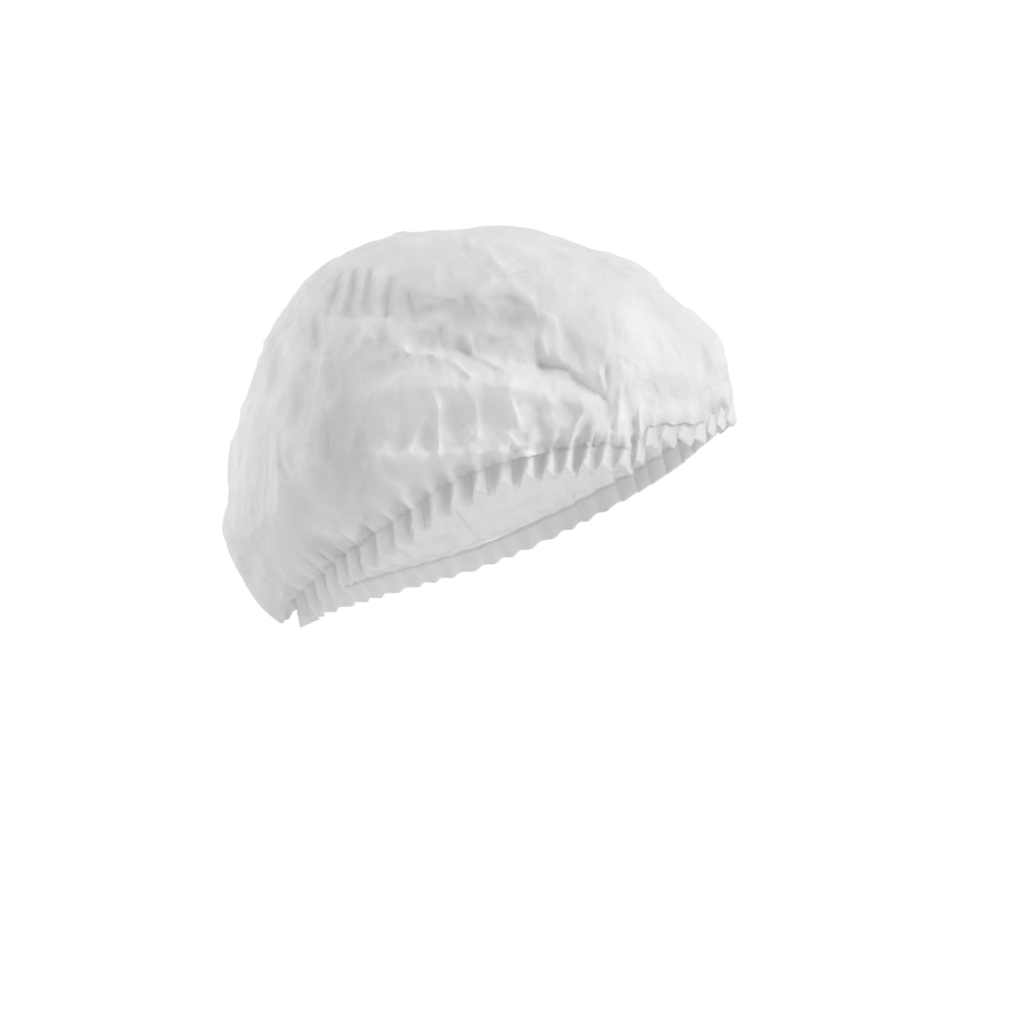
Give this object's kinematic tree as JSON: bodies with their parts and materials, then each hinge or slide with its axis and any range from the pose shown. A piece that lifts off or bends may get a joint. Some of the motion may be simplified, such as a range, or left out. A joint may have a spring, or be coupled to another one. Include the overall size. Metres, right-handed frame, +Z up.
{
  "type": "disposable hair cover cap",
  "caption": "Opened bouffant hair cover of thin white non-woven cloth, a puffed crown gathered into elastic hems with a welded tab at each end.",
  "frame": {"origin": "centre of the rim opening, in the plane of the rim's lower edge, where the head goes in", "axes": "+X runs along the opening from the left tip to the right tip, +Y from the near hem to the far hem, +Z up out of the crown"},
  "size_m": [0.301, 0.2432, 0.1961],
  "materials": {
    "crown_nonwoven": "matte",
    "hem_nonwoven": "matte",
    "weld_nonwoven": "pressed, slightly glossy"
  },
  "bodies": {
    "root": {"crown": "crown_nonwoven", "hem_near": "hem_nonwoven", "hem_far": "hem_nonwoven", "end_tab_left": "weld_nonwoven", "end_tab_right": "weld_nonwoven"}
  },
  "joints": []
}
